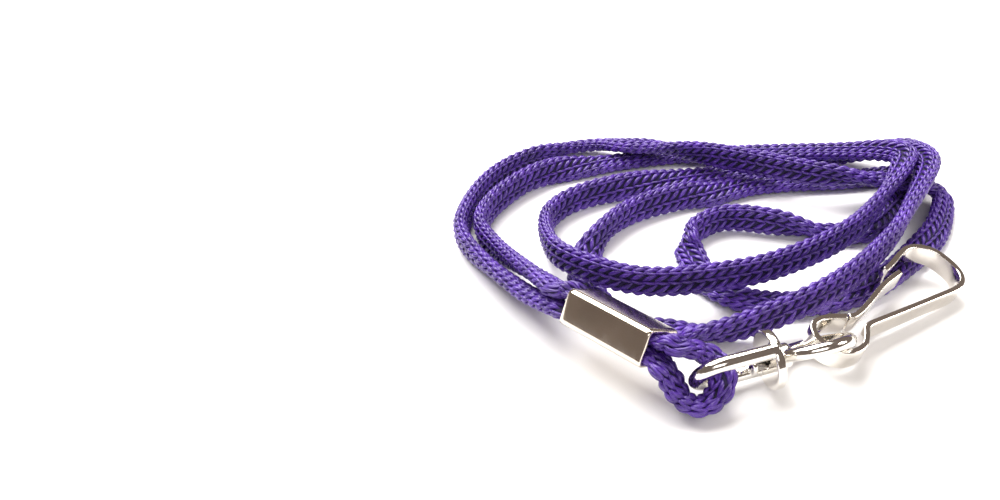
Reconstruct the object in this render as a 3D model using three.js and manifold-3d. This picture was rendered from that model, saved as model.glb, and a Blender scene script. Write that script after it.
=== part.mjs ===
// A lanyard badge holder: a flat knitted neck cord whose two ends and folded eye are held by a
// pressed metal crimp, a small swivel on the eye, and a spring-strip snap hook on the swivel's ring.
// Millimetres, +Z up. The cord and the hardware lie on the plane Z = 0 and the origin is the middle
// of the outline on that plane.
import * as THREE from "three";
import { mergeVertices } from "three/addons/utils/BufferGeometryUtils.js";
import Module from "manifold-3d";

const wasm = await Module();
wasm.setup();

// ---- driving sizes --------------------------------------------------------------------------

const CLEARANCE = 0.3; // between pieces that touch or turn in each other

const CORD_WIDTH = 4.7;
const CORD_THICKNESS = 2.4;
const CORD_SIDES = 10;

const CRIMP_LENGTH = 13.2;
const CRIMP_ACROSS = 6.0; // over the width of a strand
const CRIMP_HEIGHT = 4.7; // over two strands pressed on each other
const CRIMP_WALL = 0.5;
const CRIMP_CORNER = 0.8;
const CRIMP_CENTRE = [-11.1, -24.3, 6.45];
const CRIMP_HEADING = -38.5; // degrees from +X
const CRIMP_ROLL = -32;
const PRESSED_PROUD = 1.3; // how far the pressed strands stand out of the crimp's two mouths

const SWIVEL_CENTRE = [7.1, -27.76, 4.3]; // middle of the yoke's plate
const SWIVEL_HEADING = 22;
const SWIVEL_PITCH = 0.5; // degrees, the ring's end down

const YOKE_WIRE = 1.8;
const YOKE_RAILS = 6.0; // between the centres of the two rails
const YOKE_LENGTH = 9.4; // from the plate's middle to the centre of the end bar
const YOKE_ROLL = -60;
const PLATE_DIAMETER = 7.4;
const PLATE_THICKNESS = 1.2;

const RIVET_SHANK = 1.3;
const RIVET_SHOULDER = 1.9;
const RIVET_SHOULDER_LENGTH = 1.2;
const RIVET_HEAD = 2.7;
const RIVET_HEAD_LENGTH = 0.8;

const RING_WIRE = 1.6;
const RING_DIAMETER = 8.7; // of the wire's centre line
const RING_ROLL = -38;
const BOSS_DIAMETER = 3.0;
const BOSS_LENGTH = 1.5;

const STRIP_THICKNESS = 0.8;
const STRIP_WIDTH = 3.1;
const EYE_FROM_RING = [-0.77, 0.65, 0.89]; // from the ring's far wire to the top of the eye's middle
const HOOK_HEADING = 44.3;
const HOOK_PITCH = 1.5;
const HOOK_ROLL = 18;

// The neck cord's route. Each station is x, y, z and the lean of the cord's wide side in degrees:
// 0 stands on its edge, 90 lies flat, and a positive lean tips the top to the left of the way
// along. It runs from the crimp round the outer loop, the middle and inner loops and the small
// bight, and back along the outer loop to the crimp.
const NECK_ROUTE = [
  [-17.6, -18.3, 7.65, 58],
  [-19.2, -17.8, 7, 57],
  [-21.4, -14.4, 6, 50],
  [-30.6, -2, 2.8, 10],
  [-34.6, 5, 2.5, 0],
  [-33.4, 13, 2.5, 0],
  [-28.2, 20.8, 2.5, 5],
  [-18.8, 26.4, 1.3, 86],
  [-6.8, 29.8, 1.3, 90],
  [1.2, 29.6, 1.7, 90],
  [7.2, 27, 3.2, 90],
  [20.8, 25.4, 4.4, 90],
  [30.4, 20.4, 7, 64],
  [30.6, 14.8, 7.3, 55],
  [24, 3.8, 5.5, 8],
  [19.2, -2.2, 5.3, 0],
  [12.4, -7.6, 5.3, 0],
  [4, -11.6, 5.3, 0],
  [-8.6, -13.4, 5.3, 0],
  [-19.2, -8.2, 5.1, 0],
  [-23.6, -0.2, 3.4, 0],
  [-24.6, 7.2, 2.5, 0],
  [-21.4, 12.6, 2.5, 0],
  [-14.4, 16.8, 2.3, 20],
  [-4, 20.6, 1.6, 75],
  [8, 24, 1.3, 90],
  [20.4, 28.4, 1.5, 90],
  [26.4, 28.4, 2.6, 86],
  [30.8, 26.4, 4.4, 76],
  [33.4, 22.8, 6, 62],
  [34.6, 14.8, 7.3, 55],
  [28.2, 1, 6, 18],
  [24, -5.8, 5.5, 5],
  [18.6, -12.4, 5.3, 0],
  [12.2, -17.4, 4.9, 0],
  [2.8, -20, 2.6, 15],
  [-4.8, -19.2, 1.4, 85],
  [-10.6, -17.6, 1.3, 90],
  [-15.6, -12.2, 1.3, 90],
  [-18, -5.2, 1.3, 90],
  [-16.2, 2.4, 2.5, 0],
  [-12, 9, 2.5, 0],
  [-4.6, 13.6, 2.4, 20],
  [0.4, 15.6, 1.7, 65],
  [6.4, 18.8, 1.3, 88],
  [13.6, 20.2, 1.3, 90],
  [22.2, 21, 1.3, 90],
  [34.4, 23.2, 1.3, 90],
  [34, 19.6, 1.3, 90],
  [29.8, 11.8, 1.3, 90],
  [24.4, 5.2, 1.3, 90],
  [18.2, 4.8, 1.4, 75],
  [10, 5.8, 2.5, 0],
  [2.4, 7, 2.5, 0],
  [-2.2, 3.4, 2.5, 0],
  [-3, 0.8, 2.2, 30],
  [-2.8, -1.4, 1.5, 75],
  [-0.4, -7.6, 1.3, 90],
  [4.8, -12.2, 1.3, 90],
  [13, -13, 1.3, 90],
  [20.8, -10.4, 1.3, 90],
  [27.6, -4.2, 1.3, 90],
  [34, 3.6, 1.8, 55],
  [37.2, 11.6, 2.1, 45],
  [37, 14.4, 2.6, 60],
  [35, 14.8, 3.6, 80],
  [27.6, 15.6, 4.4, 80],
  [19.4, 15.4, 5.3, 12],
  [14.8, 16.8, 5.3, 0],
  [0.6, 22.4, 5.3, 5],
  [-9.2, 27, 4.4, 75],
  [-14.6, 29.2, 3.6, 80],
  [-19.4, 32.2, 2.2, 70],
  [-24.8, 31.8, 1.8, 62],
  [-30.8, 26.6, 2.4, 15],
  [-35.8, 18.6, 2.5, 0],
  [-37.6, 7.8, 2.5, 0],
  [-35.6, -0.4, 2.6, -5],
  [-25.6, -12.6, 3.6, -48],
  [-18.7, -19.5, 5.3, -58],
];

// The folded eye that the swivel hangs on, from the crimp's far strand round to its near strand.
// A fifth number is the share of its width that the cord keeps where it bunches up in the yoke.
const EYE_ROUTE = [
  [-4.5, -28.6, 7.6, -58],
  [-3.6, -29.1, 7.3, -60],
  [-2.4, -28.8, 6.8, -64, 0.95],
  [-1.0, -28.5, 6.0, -74, 0.85],
  [0.4, -28.8, 5.1, -90, 0.78],
  [1.4, -30.2, 4.2, -96, 0.75],
  [1.3, -31.6, 3.3, -96, 0.75],
  [0.1, -32.6, 2.2, -104, 0.8],
  [-1.7, -33.0, 1.7, -120, 0.85],
  [-3.4, -32.2, 2.5, -124, 0.92],
  [-4.7, -30.9, 4.3, -123],
  [-5.5, -30.2, 5.2, -122],
];

// The hook's strip in its own plane: along the hook from the eye's middle, and across it.
const HOOK_OUTLINE = [
  [13.9, 3.35],
  [15.5, 3.6],
  [17.9, 4.1],
  [20.1, 4.3],
  [22.0, 3.5],
  [23.4, 1.8],
  [23.8, -0.4],
  [23.5, -2.6],
  [22.3, -4.0],
  [20.2, -4.35],
  [16.0, -3.65],
  [11.5, -2.85],
  [7.2, -2.05],
  [4.7, -1.6],
  [3.6, -1.7],
  [2.6, -2.5],
  [1.2, -3.3],
  [-0.4, -3.3],
  [-1.9, -2.6],
  [-3.0, -1.2],
  [-3.3, 0.3],
  [-3.0, 1.7],
  [-2.1, 2.55],
  [-0.7, 2.6],
  [0.9, 2.0],
  [2.6, 0.95],
];

// The gate tongue, the free end of the same strip, springs against the inside of the hook's end.
const GATE_OUTLINE = [
  [2.95, 0.8],
  [4.0, 0.45],
  [6.5, 0.75],
  [10.8, 1.65],
  [13.4, 1.9],
  [15.4, 1.95],
];

// ---- shapes ---------------------------------------------------------------------------------

const finish = (color, metalness, roughness) =>
  new THREE.MeshStandardMaterial({ color, metalness, roughness });
const NICKEL = [0xede6dc, 1, 0.15];
const CORD_DYE = [0x4e2c9e, 0, 0.6];

function named(name, geometry, look) {
  const mesh = new THREE.Mesh(geometry, finish(...look));
  mesh.name = name;
  return mesh;
}

function solid(geometry) {
  const bare = geometry.clone();
  for (const extra of ["normal", "uv"]) bare.deleteAttribute(extra);
  const merged = mergeVertices(bare, 1e-4);
  const { position } = merged.attributes;
  const triVerts = new Uint32Array(merged.index.array);
  return new wasm.Manifold(new wasm.Mesh({ numProp: 3, vertProperties: position.array, triVerts }));
}

function geometryOf(manifold) {
  const { vertProperties, triVerts } = manifold.getMesh();
  const geometry = new THREE.BufferGeometry();
  geometry.setAttribute("position", new THREE.BufferAttribute(vertProperties, 3));
  geometry.setIndex(new THREE.BufferAttribute(triVerts, 1));
  return geometry;
}

// A route whose section keeps the lean given at each station. The tube has a ring at every station.
class LeaningRoute extends THREE.CatmullRomCurve3 {
  constructor(stations) {
    super(stations.map(([x, y, z]) => new THREE.Vector3(x, y, z)));
    this.leans = stations.map(([, , , lean]) => THREE.MathUtils.degToRad(lean));
    this.shares = stations.map(([, , , , share = 1]) => share);
  }

  getSpacedPoints() {
    return this.points.map((point) => point.clone());
  }

  computeFrenetFrames() {
    const frames = { tangents: [], normals: [], binormals: [] };
    this.leans.forEach((lean, i) => {
      const tangent = this.getTangent(i / (this.leans.length - 1));
      const left = new THREE.Vector3(0, 0, 1).cross(tangent).normalize();
      const top = tangent.clone().cross(left);
      const wide = top.multiplyScalar(Math.cos(lean)).addScaledVector(left, Math.sin(lean));
      frames.tangents.push(tangent);
      frames.normals.push(wide.clone().cross(tangent));
      frames.binormals.push(wide.multiplyScalar(this.shares[i]));
    });
    return frames;
  }
}

function cordSection() {
  const corner = (i) => {
    const angle = (2 * Math.PI * (i + 0.5)) / CORD_SIDES;
    return new THREE.Vector2((CORD_THICKNESS / 2) * Math.cos(angle), (CORD_WIDTH / 2) * Math.sin(angle));
  };
  return new THREE.Shape(Array.from({ length: CORD_SIDES }, (_, i) => corner(i)));
}

function cordTube(stations) {
  const path = new LeaningRoute(stations);
  return new THREE.ExtrudeGeometry(cordSection(), { extrudePath: path, steps: stations.length - 1 });
}

function roundedRectangle(width, height, radius) {
  const [x, y] = [width / 2, height / 2];
  const shape = new THREE.Shape();
  shape.absarc(x - radius, y - radius, radius, 0, Math.PI / 2);
  shape.absarc(radius - x, y - radius, radius, Math.PI / 2, Math.PI);
  shape.absarc(radius - x, radius - y, radius, Math.PI, 1.5 * Math.PI);
  shape.absarc(x - radius, radius - y, radius, 1.5 * Math.PI, 2 * Math.PI);
  return shape;
}

// An extrusion of a shape in local YZ, centred on the origin along local X.
function bar(shape, length) {
  const geometry = new THREE.ExtrudeGeometry(shape, { depth: length, bevelEnabled: false, curveSegments: 4 });
  return geometry.translate(0, 0, -length / 2).rotateY(Math.PI / 2).rotateX(Math.PI / 2);
}

// A turned piece about local X: its profile runs from the axis to the axis as [x, radius] pairs.
function turned(profile, segments = 24) {
  const points = profile.map(([x, radius]) => new THREE.Vector2(radius, x));
  return new THREE.LatheGeometry(points, segments).rotateZ(-Math.PI / 2);
}

// A metal strip standing on its edge below local Z = 0, along a smooth line through the points.
function strip(outline) {
  const line = new THREE.CatmullRomCurve3(outline.map(([x, y]) => new THREE.Vector3(x, y, 0)));
  const steps = 3 * (outline.length - 1);
  const side = (sign) =>
    Array.from({ length: steps + 1 }, (_, i) => {
      const tangent = line.getTangent(i / steps);
      const point = line.getPoint(i / steps);
      const away = (sign * STRIP_THICKNESS) / 2;
      return new THREE.Vector2(point.x - away * tangent.y, point.y + away * tangent.x);
    });
  const shape = new THREE.Shape([...side(-1), ...side(1).reverse()]);
  const options = { depth: STRIP_WIDTH, bevelEnabled: false };
  return new THREE.ExtrudeGeometry(shape, options).translate(0, 0, -STRIP_WIDTH);
}

// A group standing at a place, turned to a heading about Z, then pitched, then rolled about its X.
function place(at, heading, roll = 0, pitch = 0) {
  const group = new THREE.Group();
  const { degToRad } = THREE.MathUtils;
  group.position.set(...at);
  group.rotation.set(degToRad(roll), degToRad(pitch), degToRad(heading), "ZYX");
  return group;
}

// ---- the cord and the crimp -----------------------------------------------------------------

const holder = new THREE.Group();
holder.add(named("neck_cord", cordTube(NECK_ROUTE), CORD_DYE));

const crimp = place(CRIMP_CENTRE, CRIMP_HEADING, CRIMP_ROLL);
const boreAcross = CRIMP_ACROSS - 2 * CRIMP_WALL;
const boreHeight = CRIMP_HEIGHT - 2 * CRIMP_WALL;
const sleeveSection = roundedRectangle(CRIMP_ACROSS, CRIMP_HEIGHT, CRIMP_CORNER);
sleeveSection.holes.push(roundedRectangle(boreAcross, boreHeight, CRIMP_CORNER - CRIMP_WALL));
crimp.add(named("crimp_sleeve", bar(sleeveSection, CRIMP_LENGTH), NICKEL));
holder.add(crimp);
crimp.updateMatrixWorld(true);

// Inside the crimp the strands are pressed into one block, which fills the bore but for a clearance.
const pressedSection = roundedRectangle(
  boreAcross - 2 * CLEARANCE,
  boreHeight - 2 * CLEARANCE,
  CRIMP_CORNER - CRIMP_WALL,
);
const pressed = bar(pressedSection, CRIMP_LENGTH + 2 * PRESSED_PROUD).applyMatrix4(crimp.matrixWorld);
holder.add(named("eye_cord", geometryOf(solid(pressed).add(solid(cordTube(EYE_ROUTE)))), CORD_DYE));

// ---- the swivel: a yoke on the cord's eye, a rivet through its plate and a ring on the rivet -----

const plateHole = RIVET_SHANK / 2 + CLEARANCE;
const plateFace = PLATE_THICKNESS / 2;

function yoke() {
  const half = YOKE_RAILS / 2;
  const bend = YOKE_LENGTH - half;
  const points = [[0, half], [-bend / 2, half], [-bend, half]];
  for (const angle of [30, 60, 90, 120, 150]) {
    const turn = THREE.MathUtils.degToRad(angle);
    points.push([-bend - half * Math.sin(turn), half * Math.cos(turn)]);
  }
  points.push([-bend, -half], [-bend / 2, -half], [0, -half]);
  const path = new THREE.CatmullRomCurve3(points.map(([x, y]) => new THREE.Vector3(x, y, 0)));
  const wire = new THREE.Shape().absarc(0, 0, YOKE_WIRE / 2, 0, 2 * Math.PI);
  const rails = new THREE.ExtrudeGeometry(wire, { extrudePath: path, steps: 40, curveSegments: 7 });
  const plate = turned([
    [-plateFace, plateHole],
    [-plateFace, PLATE_DIAMETER / 2],
    [plateFace, PLATE_DIAMETER / 2],
    [plateFace, plateHole],
    [-plateFace, plateHole],
  ]);
  return geometryOf(solid(rails).add(solid(plate)));
}

const yokeFrame = place(SWIVEL_CENTRE, SWIVEL_HEADING, YOKE_ROLL, SWIVEL_PITCH);
yokeFrame.add(named("swivel_yoke", yoke(), NICKEL));
holder.add(yokeFrame);

// The rivet's head and shoulder lie inside the yoke and its shank ends in the boss of the ring.
const shoulderEnd = -plateFace - CLEARANCE;
const headEnd = shoulderEnd - RIVET_SHOULDER_LENGTH;
const bossStart = plateFace + CLEARANCE;
const bossEnd = bossStart + BOSS_LENGTH;
const shankEnd = bossEnd - CLEARANCE - RING_WIRE / 4;
const swivelFrame = place(SWIVEL_CENTRE, SWIVEL_HEADING, RING_ROLL, SWIVEL_PITCH);
const rivet = turned([
  [headEnd - RIVET_HEAD_LENGTH, 0],
  [headEnd - RIVET_HEAD_LENGTH, RIVET_HEAD / 2],
  [headEnd, RIVET_HEAD / 2],
  [headEnd, RIVET_SHOULDER / 2],
  [shoulderEnd, RIVET_SHOULDER / 2],
  [shoulderEnd, RIVET_SHANK / 2],
  [shankEnd, RIVET_SHANK / 2],
  [shankEnd, 0],
]);
swivelFrame.add(named("swivel_rivet", rivet, NICKEL));

function ring() {
  const torus = new THREE.TorusGeometry(RING_DIAMETER / 2, RING_WIRE / 2, 12, 40);
  torus.translate(bossStart + (RING_WIRE + RING_DIAMETER) / 2, 0, 0);
  const disc = (start, end, radius) => turned([[start, 0], [start, radius], [end, radius], [end, 0]]);
  const boss = disc(bossStart, bossEnd, BOSS_DIAMETER / 2);
  const socket = disc(0, shankEnd + CLEARANCE, plateHole);
  return geometryOf(solid(torus).add(solid(boss)).subtract(solid(socket)));
}

swivelFrame.add(named("swivel_ring", ring(), NICKEL));
holder.add(swivelFrame);

// ---- the snap hook and its gate ---------------------------------------------------------------

const ringReach = bossStart + RING_WIRE / 2 + RING_DIAMETER;
swivelFrame.updateMatrixWorld(true);
const farWire = swivelFrame.localToWorld(new THREE.Vector3(ringReach, 0, 0));
const hookEye = farWire.add(new THREE.Vector3(...EYE_FROM_RING));
const hookFrame = place(hookEye.toArray(), HOOK_HEADING, HOOK_ROLL, HOOK_PITCH);
hookFrame.add(named("snap_hook", strip(HOOK_OUTLINE), NICKEL));
hookFrame.add(named("gate_tongue", strip(GATE_OUTLINE), NICKEL));
holder.add(hookFrame);

export default holder;
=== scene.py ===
"""A lanyard badge holder: a knitted neck cord, its crimp, a cast swivel and a spring-strip snap hook.

The cord is knitted stitch by stitch round a core coloured near black as painted shade for the gaps
between its stitches, and the metal pieces are made again with rounded edges, each where the frame has
its solid. Lengths are in millimetres until MM turns them into metres.
"""
import math

import bpy
import numpy as np
from mathutils import Euler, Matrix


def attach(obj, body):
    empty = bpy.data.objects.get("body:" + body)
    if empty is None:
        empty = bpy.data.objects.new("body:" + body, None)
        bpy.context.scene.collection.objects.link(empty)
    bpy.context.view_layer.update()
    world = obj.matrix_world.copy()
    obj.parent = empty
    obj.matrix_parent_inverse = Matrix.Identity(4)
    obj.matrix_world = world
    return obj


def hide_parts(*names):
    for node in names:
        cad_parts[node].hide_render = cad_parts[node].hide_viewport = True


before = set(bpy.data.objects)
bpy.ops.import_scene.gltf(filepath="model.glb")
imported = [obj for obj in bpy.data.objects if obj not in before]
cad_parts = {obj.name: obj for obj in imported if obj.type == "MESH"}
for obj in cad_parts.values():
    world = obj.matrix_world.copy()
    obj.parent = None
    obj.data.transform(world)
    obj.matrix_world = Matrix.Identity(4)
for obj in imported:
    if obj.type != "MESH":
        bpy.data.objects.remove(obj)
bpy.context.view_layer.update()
MM = 0.001

# ---- sizes, as in the frame ----------------------------------------------------------------------

CORD_WIDTH = 4.7
CORD_THICKNESS = 2.4
WALES = 8
COURSE = 1.56

CRIMP_LENGTH = 13.2
CRIMP_ACROSS = 6.0
CRIMP_HEIGHT = 4.7
CRIMP_WALL = 0.5
CRIMP_CORNER = 0.8
CRIMP_CENTRE = (-11.1, -24.3, 6.45)
CRIMP_TURN = (-32, 0, -38.5)  # roll, pitch and heading in degrees

SWIVEL_CENTRE = (7.1, -27.76, 4.3)
YOKE_TURN = (-60, 0.5, 22)
YOKE_WIRE = 1.8
YOKE_RAILS = 6.0
YOKE_LENGTH = 9.4
PLATE_DIAMETER = 7.4
PLATE_THICKNESS = 1.2
CLEARANCE = 0.3

RIVET_SHANK = 1.3
RIVET_SHOULDER = 1.9
RIVET_SHOULDER_LENGTH = 1.2
RIVET_HEAD = 2.7
RIVET_HEAD_LENGTH = 0.8

RING_TURN = (-38, 0.5, 22)
RING_WIRE = 1.6
RING_DIAMETER = 8.7
BOSS_DIAMETER = 3.0
BOSS_LENGTH = 1.5

EYE_FROM_RING = (-0.77, 0.65, 0.89)
HOOK_TURN = (18, 1.5, 44.3)
STRIP_THICKNESS = 0.8
STRIP_WIDTH = 3.1

# ---- camera --------------------------------------------------------------------------------------

camera = bpy.data.objects.new("camera", bpy.data.cameras.new("camera"))
bpy.context.collection.objects.link(camera)
bpy.context.scene.camera = camera
camera.location = (-0.6 * MM, -104.2 * MM, 71.5 * MM)
camera.rotation_euler = (math.radians(56), 0, 0)
camera.data.lens = 30.6
camera.data.shift_x = -0.205
camera.data.clip_start = 0.001

# ---- the cord's routes ---------------------------------------------------------------------------

STEPS_PER_STATION = 12
SECTION_POWER = 0.78  # below 1 the cord's section is squarer than an ellipse
YARN_DEPTH = 0.30  # from the cord's outline in to the middle of its stitches

# Each station is x, y, z, the lean of the cord's wide side in degrees (0 stands on its edge, 90 lies
# flat), and, where they aren't 1, the shares of its width and thickness that the cord keeps.

INTO_CRIMP = [(-15.1, -20.5, 7.21, 58, 1, 0.68), (-16.1, -19.65, 7.3, 58, 1, 0.72)]
NECK_STATIONS = [
    (-17.6, -18.3, 7.65, 58),
    (-19.2, -17.8, 7, 57),
    (-21.4, -14.4, 6, 50),
    (-30.6, -2, 2.8, 10),
    (-34.6, 5, 2.5, 0),
    (-33.4, 13, 2.5, 0),
    (-28.2, 20.8, 2.5, 5),
    (-18.8, 26.4, 1.3, 86),
    (-6.8, 29.8, 1.3, 90),
    (1.2, 29.6, 1.7, 90),
    (7.2, 27, 3.2, 90),
    (20.8, 25.4, 4.4, 90),
    (30.4, 20.4, 7, 64),
    (30.6, 14.8, 7.3, 55),
    (24, 3.8, 5.5, 8),
    (19.2, -2.2, 5.3, 0),
    (12.4, -7.6, 5.3, 0),
    (4, -11.6, 5.3, 0),
    (-8.6, -13.4, 5.3, 0),
    (-19.2, -8.2, 5.1, 0),
    (-23.6, -0.2, 3.4, 0),
    (-24.6, 7.2, 2.5, 0),
    (-21.4, 12.6, 2.5, 0),
    (-14.4, 16.8, 2.3, 20),
    (-4, 20.6, 1.6, 75),
    (8, 24, 1.3, 90),
    (20.4, 28.4, 1.5, 90),
    (26.4, 28.4, 2.6, 86),
    (30.8, 26.4, 4.4, 76),
    (33.4, 22.8, 6, 62),
    (34.6, 14.8, 7.3, 55),
    (28.2, 1, 6, 18),
    (24, -5.8, 5.5, 5),
    (18.6, -12.4, 5.3, 0),
    (12.2, -17.4, 4.9, 0),
    (2.8, -20, 2.6, 15),
    (-4.8, -19.2, 1.4, 85),
    (-10.6, -17.6, 1.3, 90),
    (-15.6, -12.2, 1.3, 90),
    (-18, -5.2, 1.3, 90),
    (-16.2, 2.4, 2.5, 0),
    (-12, 9, 2.5, 0),
    (-4.6, 13.6, 2.4, 20),
    (0.4, 15.6, 1.7, 65),
    (6.4, 18.8, 1.3, 88),
    (13.6, 20.2, 1.3, 90),
    (22.2, 21, 1.3, 90),
    (34.4, 23.2, 1.3, 90),
    (34, 19.6, 1.3, 90),
    (29.8, 11.8, 1.3, 90),
    (24.4, 5.2, 1.3, 90),
    (18.2, 4.8, 1.4, 75),
    (10, 5.8, 2.5, 0),
    (2.4, 7, 2.5, 0),
    (-2.2, 3.4, 2.5, 0),
    (-3, 0.8, 2.2, 30),
    (-2.8, -1.4, 1.5, 75),
    (-0.4, -7.6, 1.3, 90),
    (4.8, -12.2, 1.3, 90),
    (13, -13, 1.3, 90),
    (20.8, -10.4, 1.3, 90),
    (27.6, -4.2, 1.3, 90),
    (34, 3.6, 1.8, 55),
    (37.2, 11.6, 2.1, 45),
    (37, 14.4, 2.6, 60),
    (35, 14.8, 3.6, 80),
    (27.6, 15.6, 4.4, 80),
    (19.4, 15.4, 5.3, 12),
    (14.8, 16.8, 5.3, 0),
    (0.6, 22.4, 5.3, 5),
    (-9.2, 27, 4.4, 75),
    (-14.6, 29.2, 3.6, 80),
    (-19.4, 32.2, 2.2, 70),
    (-24.8, 31.8, 1.8, 62),
    (-30.8, 26.6, 2.4, 15),
    (-35.8, 18.6, 2.5, 0),
    (-37.6, 7.8, 2.5, 0),
    (-35.6, -0.4, 2.6, -5),
    (-25.6, -12.6, 3.6, -48),
    (-18.7, -19.5, 5.3, -58),
]
OUT_OF_CRIMP = [(-16.75, -20.6, 5.6, -58, 1, 0.72), (-15.7, -21.35, 5.66, -58, 1, 0.68)]
EYE_START = [
    (-12.6, -22.5, 7.21, -58, 1, 0.68),
    (-9.0, -25.35, 7.21, -58, 1, 0.68),
    (-5.8, -27.9, 7.28, -58, 1, 0.7),
]
EYE_STATIONS = [
    (-4.5, -28.6, 7.6, -58),
    (-3.6, -29.1, 7.3, -60),
    (-2.4, -28.8, 6.8, -64, 0.95),
    (-1.0, -28.5, 6.0, -74, 0.85),
    (0.4, -28.8, 5.1, -90, 0.78),
    (1.4, -30.2, 4.2, -96, 0.75),
    (1.3, -31.6, 3.3, -96, 0.75),
    (0.1, -32.6, 2.2, -104, 0.8),
    (-1.7, -33.0, 1.7, -120, 0.85),
    (-3.4, -32.2, 2.5, -124, 0.92),
    (-4.7, -30.9, 4.3, -123),
    (-5.5, -30.2, 5.2, -122),
]
EYE_END = [
    (-6.6, -28.9, 5.58, -122, 1, 0.7),
    (-9.6, -26.1, 5.69, -122, 1, 0.68),
    (-13.2, -23.25, 5.69, -122, 1, 0.68),
]

HOOK_OUTLINE = [
    (13.9, 3.35),
    (15.5, 3.6),
    (17.9, 4.1),
    (20.1, 4.3),
    (22.0, 3.5),
    (23.4, 1.8),
    (23.8, -0.4),
    (23.5, -2.6),
    (22.3, -4.0),
    (20.2, -4.35),
    (16.0, -3.65),
    (11.5, -2.85),
    (7.2, -2.05),
    (4.7, -1.6),
    (3.6, -1.7),
    (2.6, -2.5),
    (1.2, -3.3),
    (-0.4, -3.3),
    (-1.9, -2.6),
    (-3.0, -1.2),
    (-3.3, 0.3),
    (-3.0, 1.7),
    (-2.1, 2.55),
    (-0.7, 2.6),
    (0.9, 2.0),
    (2.6, 0.95),
]
GATE_OUTLINE = [
    (2.95, 0.8),
    (4.0, 0.45),
    (6.5, 0.75),
    (10.8, 1.65),
    (13.4, 1.9),
    (15.4, 1.95),
]


def smooth_line(points, per_span):
    """A Catmull-Rom line through rows of numbers, with per_span steps between two of them."""
    rows = np.array(points, float)
    rows = np.vstack([2 * rows[0] - rows[1], rows, 2 * rows[-1] - rows[-2]])
    t = np.linspace(0, 1, per_span, endpoint=False)[:, None]
    spans = []
    for a, b, c, d in zip(rows, rows[1:], rows[2:], rows[3:]):
        bend = (2 * a - 5 * b + 4 * c - d) * t**2 + (3 * b - a - 3 * c + d) * t**3
        spans.append(0.5 * (2 * b + (c - a) * t + bend))
    return np.vstack([*spans, rows[-2][None]])


def unit(vectors):
    return vectors / np.linalg.norm(vectors, axis=-1, keepdims=True)


class Route:
    """A cord's centreline with the directions of its wide and thin sides all the way along."""

    def __init__(self, stations):
        rows = [(*row, 1, 1)[:6] for row in stations]
        line = smooth_line(rows, STEPS_PER_STATION)
        self.points = line[:, :3]
        tangents = unit(np.gradient(self.points, axis=0))
        left = unit(np.cross((0, 0, 1), tangents))
        top = np.cross(tangents, left)
        lean = np.radians(line[:, 3:4])
        self.wide = top * np.cos(lean) + left * np.sin(lean)
        self.thin = np.cross(self.wide, tangents)
        self.tangents = tangents
        self.shares = line[:, 4:6]
        steps = np.linalg.norm(np.diff(self.points, axis=0), axis=1)
        self.way = np.concatenate([[0], np.cumsum(steps)])
        self.length = self.way[-1]

    def at(self, way, values):
        """The values of a table along the route, at any distances from its start."""
        columns = [np.interp(way, self.way, column) for column in values.T]
        return np.stack(columns, axis=-1)

    def surface(self, way, around, height):
        """Points on the cord at distances along it and round it, raised by height, and their sides."""
        angle = 2 * math.pi * around
        cosine, sine = np.cos(angle), np.sin(angle)
        half_width, half_thickness = CORD_WIDTH / 2 - YARN_DEPTH, CORD_THICKNESS / 2 - YARN_DEPTH
        across = np.sign(cosine) * np.abs(cosine) ** SECTION_POWER * half_width
        through = np.sign(sine) * np.abs(sine) ** SECTION_POWER * half_thickness
        shares = self.at(way, self.shares)
        wide, thin = self.at(way, self.wide), self.at(way, self.thin)
        across, through = across * shares[..., 0], through * shares[..., 1]
        out = unit(wide * (cosine / CORD_WIDTH)[..., None] + thin * (sine / CORD_THICKNESS)[..., None])
        base = self.at(way, self.points) + wide * across[..., None] + thin * through[..., None]
        return base + out * height[..., None], out


# ---- mesh helpers --------------------------------------------------------------------------------


def new_piece(name, points, faces, material, uv=None, smooth=True):
    """A mesh object from points in millimetres; faces is a list, or an array of quads."""
    mesh = bpy.data.meshes.new(name)
    mesh.from_pydata((np.asarray(points) * MM).tolist(), [], [tuple(face) for face in faces])
    if uv is not None:
        layer = mesh.uv_layers.new(name="yarn")
        loops = np.empty(len(mesh.loops), int)
        mesh.loops.foreach_get("vertex_index", loops)
        layer.data.foreach_set("uv", uv[loops].ravel())
    mesh.polygons.foreach_set("use_smooth", [smooth] * len(mesh.polygons))
    mesh.update()
    piece = bpy.data.objects.new(name, mesh)
    bpy.context.collection.objects.link(piece)
    piece.data.materials.append(material)
    return piece


def grid_faces(rings, sides, first=0, closed=False):
    """Quads between rings of points, with flat ends unless the rings close on themselves."""
    faces = []
    for ring in range(rings if closed else rings - 1):
        here, there = first + ring * sides, first + (ring + 1) % rings * sides
        faces += [
            (here + i, here + (i + 1) % sides, there + (i + 1) % sides, there + i) for i in range(sides)
        ]
    if not closed:
        faces.append(tuple(first + i for i in reversed(range(sides))))
        faces.append(tuple(first + (rings - 1) * sides + i for i in range(sides)))
    return faces


def placed(points, centre, turn):
    """Local points carried to their place by roll, pitch and heading."""
    roll, pitch, heading = (math.radians(angle) for angle in turn)
    matrix = np.array(Euler((roll, pitch, heading), "XYZ").to_matrix())
    return np.asarray(points) @ matrix.T + np.array(centre)


# ---- materials -----------------------------------------------------------------------------------

EVEN = (1, 1, 1)  # a texture's scale when it isn't drawn out in any direction


class Socket:
    """A shader socket that takes part in sums and products."""

    def __init__(self, shader, output):
        self.shader = shader
        self.output = output

    def _math(self, operation, first, second):
        return self.shader.node("ShaderNodeMath", {"operation": operation}, [first, second])

    def __add__(self, other):
        return self._math("ADD", self, other)

    def __mul__(self, other):
        return self._math("MULTIPLY", self, other)

    __radd__ = __add__


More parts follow.
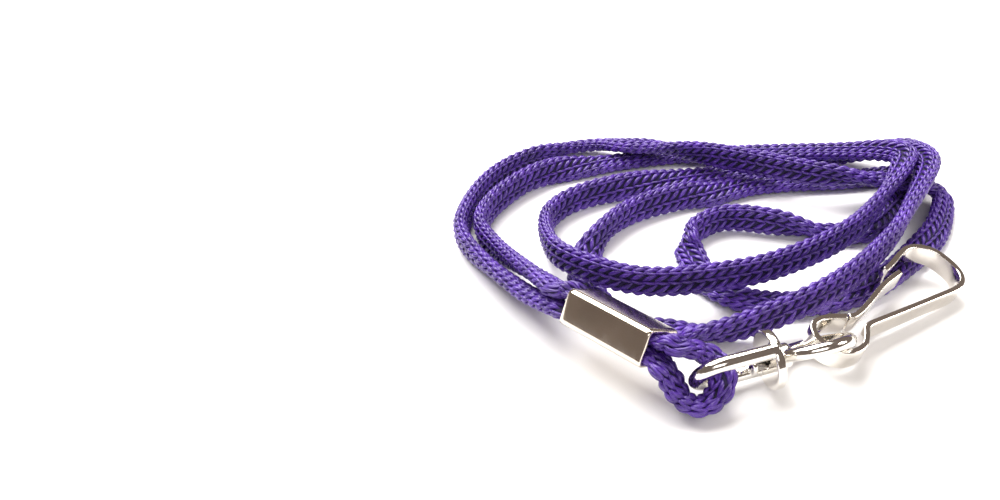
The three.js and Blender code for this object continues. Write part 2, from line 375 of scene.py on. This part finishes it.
class Shader:
    """A material's nodes round one Principled shader."""

    def __init__(self, name, **constants):
        self.material = bpy.data.materials.new(name)
        self.material.use_nodes = True
        self.tree = self.material.node_tree
        self.surface = self.tree.nodes["Principled BSDF"]
        for socket, value in constants.items():
            self.surface.inputs[socket.replace("_", " ")].default_value = value

    def node(self, kind, settings=None, inputs=(), output=0):
        made = self.tree.nodes.new(kind)
        for key, value in (settings or {}).items():
            if key == "stops":
                made.color_ramp.elements[0].position, made.color_ramp.elements[0].color = value[0]
                made.color_ramp.elements[1].position, made.color_ramp.elements[1].color = value[-1]
                for position, color in value[1:-1]:
                    made.color_ramp.elements.new(position).color = color
            else:
                setattr(made, key, value)
        pairs = inputs.items() if isinstance(inputs, dict) else enumerate(inputs)
        for key, value in pairs:
            if isinstance(value, Socket):
                self.tree.links.new(value.output, made.inputs[key])
            else:
                made.inputs[key].default_value = value
        return Socket(self, made.outputs[output])

    def coordinates(self, kind, scale):
        source = self.node("ShaderNodeTexCoord", output=kind)
        return self.node("ShaderNodeMapping", inputs={"Vector": source, "Scale": scale})

    def noise(self, vector, scale, detail=2.0, roughness=0.5):
        inputs = {"Vector": vector, "Scale": scale, "Detail": detail, "Roughness": roughness}
        return self.node("ShaderNodeTexNoise", inputs=inputs)

    def ramp(self, factor, stops):
        return self.node("ShaderNodeValToRGB", {"stops": stops}, [factor])

    def bump(self, height, strength, distance):
        inputs = {"Height": height, "Strength": strength, "Distance": distance}
        return self.node("ShaderNodeBump", inputs=inputs)

    def feed(self, **links):
        for socket, value in links.items():
            self.tree.links.new(value.output, self.surface.inputs[socket.replace("_", " ")])
        return self.material


def yarn_material():
    yarn = Shader("violet_yarn", Specular_IOR_Level=0.75, Sheen_Weight=0.06, Sheen_Roughness=0.4)
    yarn.surface.inputs["Sheen Tint"].default_value = (0.75, 0.6, 1, 1)
    yarn.surface.inputs["Specular Tint"].default_value = (0.9, 0.8, 1, 1)
    along = yarn.coordinates("UV", (2.5, 22, 1))
    filament = yarn.noise(along, 1.6, 3, 0.6)
    patch = yarn.noise(yarn.coordinates("Object", EVEN), 420, 2)
    tone = filament * 0.6 + patch * 0.4
    stops = [
        (0.3, (0.014, 0.004, 0.062, 1)),
        (0.5, (0.054, 0.015, 0.235, 1)),
        (0.7, (0.15, 0.052, 0.52, 1)),
    ]
    return yarn.feed(
        Base_Color=yarn.ramp(tone, stops),
        Roughness=0.14 + filament * 0.3,
        Normal=yarn.bump(filament, 0.55, 0.06 * MM),
    )


def painted_shade_core_material():
    core = Shader("core_painted_shade")
    weave = core.noise(core.coordinates("Object", EVEN), 900, 2)
    # near black, darker than the yarn's own violet: painted shade for the gaps between stitches
    stops = [(0.3, (0.004, 0.002, 0.016, 1)), (0.7, (0.016, 0.007, 0.06, 1))]
    return core.feed(Base_Color=core.ramp(weave, stops), Roughness=0.75 + weave * 0.2)


def nickel_material(name, tint, roughness, scratch_scale):
    nickel = Shader(name, Metallic=1.0)
    cloud = nickel.noise(nickel.coordinates("Object", EVEN), 160, 3)
    scratch = nickel.noise(nickel.coordinates("Object", scratch_scale), 900, 4, 0.7)
    stops = [(0.3, (*(0.86 * t for t in tint), 1)), (0.7, (*tint, 1))]
    return nickel.feed(
        Base_Color=nickel.ramp(cloud, stops),
        Roughness=roughness * 0.6 + scratch * roughness * 0.8,
        Normal=nickel.bump(scratch, 0.08, 0.01 * MM),
    )


CAST_TINT = (0.90, 0.865, 0.81)
STRIP_TINT = (0.92, 0.88, 0.82)
CRIMP_TINT = (0.80, 0.72, 0.62)
ALONG_Z = (1, 1, 0.15)
ALONG_Z_LONGER = (1, 1, 0.1)
yarn = yarn_material()
core_painted_shade = painted_shade_core_material()
cast_nickel = nickel_material("cast_nickel", CAST_TINT, 0.13, EVEN)
strip_nickel = nickel_material("strip_nickel", STRIP_TINT, 0.11, ALONG_Z)
crimp_nickel = nickel_material("crimp_nickel", CRIMP_TINT, 0.17, ALONG_Z_LONGER)

# ---- the knitted cord ----------------------------------------------------------------------------

LEG_RINGS = 8
LEG_SIDES = 6
WALE_STAGGER = 0.06  # how far each wale starts after the last, in courses
LEG_SWAY = 0.06  # how much a leg bends sideways like an S, as a share of its slant
LEG_DIP = 0.24  # how far a leg sinks below its middle where its swell is nothing
LEG_TIP = 0.25  # its thickness where its swell is nothing, as a share of its middle's
SWELL_START, SWELL_SPAN = 0.06, 0.88  # the part of a half wave that a leg swells by
ENDS_LEFT = 1.6  # courses that are left off a cord's length
YARN_SHIFT = 0.37  # from one leg's fibres to the next, so that no two look the same
CORE_SIDES = 16
CORE_STEP = 0.8
CORE_HEIGHT = -0.16  # below the middle of the stitches
# Each wale has one slanted and one nearly straight leg: where they start and end across the wale, as
# shares of its width, and how far each reaches along in courses, its half-width and half-depth.
LEGS = [
    {"start": -0.50, "end": 0.20, "reach": 1.22, "half_width": 0.33, "half_depth": 0.27},
    {"start": 0.43, "end": 0.33, "reach": 1.30, "half_width": 0.22, "half_depth": 0.27},
]


def leg_points(route, course, wale, leg):
    """The rings of one kind of leg, for arrays of courses and wales."""
    t = np.linspace(0, 1, LEG_RINGS)
    swell = np.sin(math.pi * (SWELL_START + SWELL_SPAN * t))
    way = (course[:, None] + leg["reach"] * t + WALE_STAGGER * wale[:, None]) * COURSE
    across = leg["start"] + (leg["end"] - leg["start"]) * (t - LEG_SWAY * np.sin(2 * math.pi * t))
    around = (wale[:, None] + 0.5 + across) / WALES
    height = np.broadcast_to(LEG_DIP * (swell - 1), way.shape)
    centre, out = route.surface(way, around, height)
    along = unit(np.gradient(centre, axis=1))
    side = np.cross(along, out)
    angle = 2 * math.pi * (np.arange(LEG_SIDES) + 0.5) / LEG_SIDES
    thick = (LEG_TIP + (1 - LEG_TIP) * swell)[None, :, None, None]
    sideways = side[:, :, None] * (leg["half_width"] * np.cos(angle))[:, None]
    outwards = out[:, :, None] * (leg["half_depth"] * np.sin(angle))[:, None]
    return centre[:, :, None] + thick * (sideways + outwards)


def knit(name, route, parts):
    """The stitches of a cord, in several pieces one after the other along it."""
    courses = int(route.length / COURSE - ENDS_LEFT)
    pieces = []
    for part, chosen in enumerate(np.array_split(np.arange(courses), parts)):
        course, wale = (grid.ravel() for grid in np.meshgrid(chosen, np.arange(WALES), indexing="ij"))
        legs = np.concatenate([leg_points(route, course, wale, leg) for leg in LEGS])
        leg_faces = grid_faces(LEG_RINGS, LEG_SIDES)
        sides, caps = np.array(leg_faces[:-2]), np.array(leg_faces[-2:])
        first = np.arange(len(legs))[:, None, None] * LEG_RINGS * LEG_SIDES
        faces = (sides + first).reshape(-1, 4).tolist() + (caps + first).reshape(-1, LEG_SIDES).tolist()
        along, around = np.meshgrid(
            np.linspace(0, 1, LEG_RINGS), np.arange(LEG_SIDES) / LEG_SIDES, indexing="ij"
        )
        shift = YARN_SHIFT * np.arange(len(legs))[:, None, None, None]
        uv = np.stack([along, around], axis=-1)[None] + shift
        piece = new_piece(f"{name}_{part + 1}", legs.reshape(-1, 3), faces, yarn, uv.reshape(-1, 2))
        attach(piece, "cord")
        pieces.append(piece)
    return pieces


def core(name, route, node):
    """The inside of a cord, which shows only between its stitches, coloured near black as painted shade.
    """
    ways = np.linspace(0, route.length, int(route.length / CORE_STEP))
    way, around = np.meshgrid(ways, np.arange(CORE_SIDES) / CORE_SIDES, indexing="ij")
    points, _ = route.surface(way, around, np.full(way.shape, CORE_HEIGHT))
    piece = new_piece(name, points.reshape(-1, 3), grid_faces(len(ways), CORE_SIDES), core_painted_shade)
    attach(piece, "cord")
    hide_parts(node)
    return piece


def cord(name, node, stations, parts):
    route = Route(stations)
    inside = core(f"{name}_core", route, node)
    stitches = knit(f"{name}_knit", route, parts)


cord("neck", "neck_cord", INTO_CRIMP + NECK_STATIONS + OUT_OF_CRIMP, 4)
cord("eye", "eye_cord", EYE_START + EYE_STATIONS + EYE_END, 1)

# ---- the metal pieces ----------------------------------------------------------------------------

ON_AXIS = 0.02  # a turned profile that closes on the axis stops this far from it
CAST_VOXEL = 0.09
MOUTH_INSET = 0.25  # how far the crimp's outer rim turns in at its mouths
STRIP_CORNER = 0.14
STRIP_END_SHARE, STRIP_END_REACH = 0.9, 0.05  # a strip's rounded end: its size and how far it goes on
RAIL_INTO_PLATE = 0.2


def metal(name, points, faces, material, body, node, slot):
    piece = new_piece(name, points, faces, material)
    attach(piece, body)
    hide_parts(node)
    return piece


def rounded_rectangle(width, height, corner, steps=5):
    """Points round a rectangle with round corners, anticlockwise."""
    points = []
    for quarter in range(4):
        middle_x = (width / 2 - corner) * (1 if quarter in (0, 3) else -1)
        middle_y = (height / 2 - corner) * (1 if quarter in (0, 1) else -1)
        for step in range(steps + 1):
            angle = math.pi / 2 * (quarter + step / steps)
            points.append((middle_x + corner * math.cos(angle), middle_y + corner * math.sin(angle)))
    return np.array(points)


def crimp_sleeve():
    """A pressed sleeve, straight along its length, with its wall rounded over at both mouths."""
    edge = 0.16
    rings = []
    half = CRIMP_LENGTH / 2
    profile = [(-half, MOUTH_INSET), (-half + 0.05, 0.1), (-half + edge, 0.0)]
    profile += [(x, 0.0) for x in np.linspace(-half + 0.8, half - 0.8, 9)]
    profile += [(half - edge, 0.0), (half - 0.05, 0.1), (half, MOUTH_INSET)]
    profile += [(half, CRIMP_WALL - 0.08), (half - 0.1, CRIMP_WALL)]
    profile += [(-half + 0.1, CRIMP_WALL), (-half, CRIMP_WALL - 0.08)]
    for x, inset in profile:
        corner = max(CRIMP_CORNER - inset, 0.2)
        loop = rounded_rectangle(CRIMP_ACROSS - 2 * inset, CRIMP_HEIGHT - 2 * inset, corner)
        rings.append([(x, y, z) for y, z in loop])
    points = np.array(rings)
    count, sides = points.shape[:2]
    faces = [face[::-1] for face in grid_faces(count, sides, closed=True)]
    return placed(points.reshape(-1, 3), CRIMP_CENTRE, CRIMP_TURN), faces


def tube(line, radius, sides=24, closed=False):
    """A round wire along a flat line in local XY."""
    line = np.asarray(line, float)
    if closed:
        along = unit(np.roll(line, -1, axis=0) - np.roll(line, 1, axis=0))
    else:
        along = unit(np.gradient(line, axis=0))
    side = np.cross(along, (0, 0, 1))
    angle = 2 * math.pi * np.arange(sides) / sides
    rings = line[:, None] + radius * (
        side[:, None] * np.cos(angle)[:, None] + np.array([0, 0, 1]) * np.sin(angle)[:, None]
    )
    return rings.reshape(-1, 3), grid_faces(len(line), sides, closed=closed)


def turned(profile, sides=48, closed=False):
    """A turned body about local X from pairs of x and radius; a closed profile leaves a bore."""
    angle = 2 * math.pi * np.arange(sides) / sides
    rings = [np.stack([np.full(sides, x), r * np.cos(angle), r * np.sin(angle)], -1) for x, r in profile]
    return np.array(rings).reshape(-1, 3), grid_faces(len(profile), sides, closed=closed)


def together(*bodies):
    points, faces, first = [], [], 0
    for body_points, body_faces in bodies:
        points.append(body_points)
        faces += [tuple(first + i for i in face) for face in body_faces]
        first += len(body_points)
    return np.vstack(points), faces


def fused(piece, voxel):
    """One cast body: overlapping bodies become one skin with soft inner corners."""
    remesh = piece.modifiers.new("cast", "REMESH")
    remesh.mode = "VOXEL"
    remesh.voxel_size = voxel * MM
    remesh.use_smooth_shade = True
    soften = piece.modifiers.new("soften", "SMOOTH")
    soften.factor = 0.5
    soften.iterations = 6
    depsgraph = bpy.context.evaluated_depsgraph_get()
    mesh = bpy.data.meshes.new_from_object(piece.evaluated_get(depsgraph))
    piece.modifiers.clear()
    piece.data = mesh
    mesh.polygons.foreach_set("use_smooth", [True] * len(mesh.polygons))
    return piece


def round_edge(half, radius, edge=0.25, steps=4):
    """Profile points round the rim of a disc, from one face to the other."""
    turn = [math.pi / 2 * step / steps for step in range(steps + 1)]
    low = [(-half + edge * (1 - math.cos(a)), radius - edge * (1 - math.sin(a))) for a in turn]
    high = [(-x, r) for x, r in reversed(low)]
    return low + high


def yoke():
    half = YOKE_RAILS / 2
    bend = YOKE_LENGTH - half
    turn = np.linspace(0, math.pi, 25)
    arc = [(-bend - half * math.sin(a), half * math.cos(a), 0) for a in turn]
    start, end = (RAIL_INTO_PLATE, half, 0), (RAIL_INTO_PLATE, -half, 0)
    rails = [start, (-bend / 2, half, 0), *arc, (-bend / 2, -half, 0), end]
    bore = RIVET_SHANK / 2 + CLEARANCE
    face = PLATE_THICKNESS / 2
    profile = round_edge(face, PLATE_DIAMETER / 2) + [(face, bore), (-face, bore)]
    points, faces = together(tube(rails, YOKE_WIRE / 2), turned(profile, closed=True))
    return placed(points, SWIVEL_CENTRE, YOKE_TURN), faces


shoulder_end = -PLATE_THICKNESS / 2 - CLEARANCE
head_start = shoulder_end - RIVET_SHOULDER_LENGTH
boss_start = PLATE_THICKNESS / 2 + CLEARANCE
boss_end = boss_start + BOSS_LENGTH
shank_end = boss_end - CLEARANCE - RING_WIRE / 4


def rivet():
    dome = head_start - RIVET_HEAD_LENGTH
    radius = RIVET_HEAD / 2
    profile = [
        (dome, ON_AXIS),
        (dome + 0.03, radius * 0.45),
        (dome + 0.12, radius * 0.75),
        (dome + 0.3, radius * 0.96),
        (dome + 0.45, radius),
        (head_start - 0.05, radius),
        (head_start, radius - 0.06),
        (head_start, RIVET_SHOULDER / 2),
        (shoulder_end, RIVET_SHOULDER / 2),
        (shoulder_end, RIVET_SHANK / 2),
        (shank_end, RIVET_SHANK / 2),
    ]
    points, faces = turned(profile)
    return placed(points, SWIVEL_CENTRE, RING_TURN), faces


ring_reach = boss_start + RING_WIRE / 2 + RING_DIAMETER
far_wire = placed([(ring_reach, 0, 0)], SWIVEL_CENTRE, RING_TURN)[0]
HOOK_EYE = tuple(far_wire + np.array(EYE_FROM_RING))


def ring():
    middle = boss_start + (RING_WIRE + RING_DIAMETER) / 2
    turn = np.linspace(0, 2 * math.pi, 96, endpoint=False)
    radius = RING_DIAMETER / 2
    circle = np.stack([middle + radius * np.cos(turn), radius * np.sin(turn), 0 * turn], -1)
    bore = RIVET_SHANK / 2 + CLEARANCE
    socket_end = shank_end + CLEARANCE
    boss = [
        (boss_start, bore),
        (boss_start, BOSS_DIAMETER / 2 - 0.15),
        (boss_start + 0.15, BOSS_DIAMETER / 2),
        (boss_end - 0.1, BOSS_DIAMETER / 2),
        (boss_end + 0.2, BOSS_DIAMETER / 2 - 0.3),
        (boss_end + 0.2, ON_AXIS),
        (socket_end, ON_AXIS),
        (socket_end, bore),
    ]
    points, faces = together(tube(circle, RING_WIRE / 2, closed=True), turned(boss, closed=True))
    return placed(points, SWIVEL_CENTRE, RING_TURN), faces


def strip_end(ring, along, way):
    """The smaller last ring of a strip, a little further along or back."""
    ring = np.array(ring)
    middle = ring.mean(0)
    return middle + (ring - middle) * STRIP_END_SHARE + way * STRIP_END_REACH * np.array([*along, 0])


def strip(outline):
    """A strip standing on edge, with its two long edges and its ends rounded over."""
    line = smooth_line(outline, 10)
    along = unit(np.gradient(line, axis=0))
    side = np.stack([-along[:, 1], along[:, 0]], -1)
    section = rounded_rectangle(STRIP_THICKNESS, STRIP_WIDTH, STRIP_CORNER, steps=4)
    rings = []
    for point, across in zip(line, side):
        rings.append([(*(point + across * x), y - STRIP_WIDTH / 2) for x, y in section])
    rings = [strip_end(rings[0], along[0], -1), *rings, strip_end(rings[-1], along[-1], 1)]
    points = np.array(rings).reshape(-1, 3)
    faces = [face[::-1] for face in grid_faces(len(rings), len(section))]
    return placed(points, HOOK_EYE, HOOK_TURN), faces


metal("crimp", *crimp_sleeve(), crimp_nickel, "cord", "crimp_sleeve", "nickel")
fused(metal("yoke", *yoke(), cast_nickel, "yoke", "swivel_yoke", "nickel"), CAST_VOXEL)
metal("rivet", *rivet(), cast_nickel, "swivel", "swivel_rivet", "nickel")
fused(metal("ring", *ring(), cast_nickel, "swivel", "swivel_ring", "nickel"), CAST_VOXEL)
metal("hook_strip", *strip(HOOK_OUTLINE), strip_nickel, "hook", "snap_hook", "spring_strip")
metal("gate_strip", *strip(GATE_OUTLINE), strip_nickel, "gate", "gate_tongue", "spring_strip")

# ---- floor, light and surroundings ---------------------------------------------------------------

FLOOR = 1500  # from the middle to each side
# Each light's place and size in metres, its power in watts and its colour; all face the object.
LIGHTS = {
    "window": ((-0.20, 0.30, 0.60), (0.75, 0.60), 13.5, (1, 0.985, 0.965)),
    "front_panel": ((0.10, -0.80, 0.70), (0.80, 0.45), 4, (1, 0.99, 0.98)),
    "side_panel": ((0.55, 0.05, 0.35), (0.25, 0.25), 1.6, (1, 0.97, 0.93)),
}
ROOM = (0.19, 0.15, 0.13, 1)
PALE_PAPER = (0.95, 0.945, 0.94, 1)


def floor():
    paper = Shader("pale_paper", Roughness=0.7)
    grain = paper.noise(paper.coordinates("Object", EVEN), 60, 2)
    stops = [(0.3, (0.90, 0.90, 0.90, 1)), (0.7, (0.93, 0.925, 0.92, 1))]
    material = paper.feed(Base_Color=paper.ramp(grain, stops))
    corners = [(-FLOOR, -FLOOR, 0), (FLOOR, -FLOOR, 0), (FLOOR, FLOOR, 0), (-FLOOR, FLOOR, 0)]
    new_piece("floor", corners, [(0, 1, 2, 3)], material, smooth=False)


def area_light(name, place, size, power, color):
    lamp = bpy.data.lights.new(name, "AREA")
    lamp.shape = "RECTANGLE"
    lamp.size, lamp.size_y = size
    lamp.energy = power
    lamp.color = color
    light = bpy.data.objects.new(name, lamp)
    bpy.context.collection.objects.link(light)
    light.location = place
    light.rotation_euler = light.location.to_track_quat("Z", "Y").to_euler()


def surroundings():
    """A dim, warm room for the metal to mirror, and pale paper where the camera sees past the floor."""
    world = bpy.data.worlds.new("studio")
    bpy.context.scene.world = world
    world.use_nodes = True
    nodes, links = world.node_tree.nodes, world.node_tree.links
    room = nodes["Background"]
    room.inputs["Color"].default_value = ROOM
    paper = nodes.new("ShaderNodeBackground")
    paper.inputs["Color"].default_value = PALE_PAPER
    seen = nodes.new("ShaderNodeLightPath")
    either = nodes.new("ShaderNodeMixShader")
    links.new(seen.outputs["Is Camera Ray"], either.inputs["Fac"])
    links.new(room.outputs["Background"], either.inputs[1])
    links.new(paper.outputs["Background"], either.inputs[2])
    links.new(either.outputs["Shader"], nodes["World Output"].inputs["Surface"])


floor()
for light_name, settings in LIGHTS.items():
    area_light(light_name, *settings)
surroundings()
bpy.context.scene.view_settings.view_transform = "Standard"
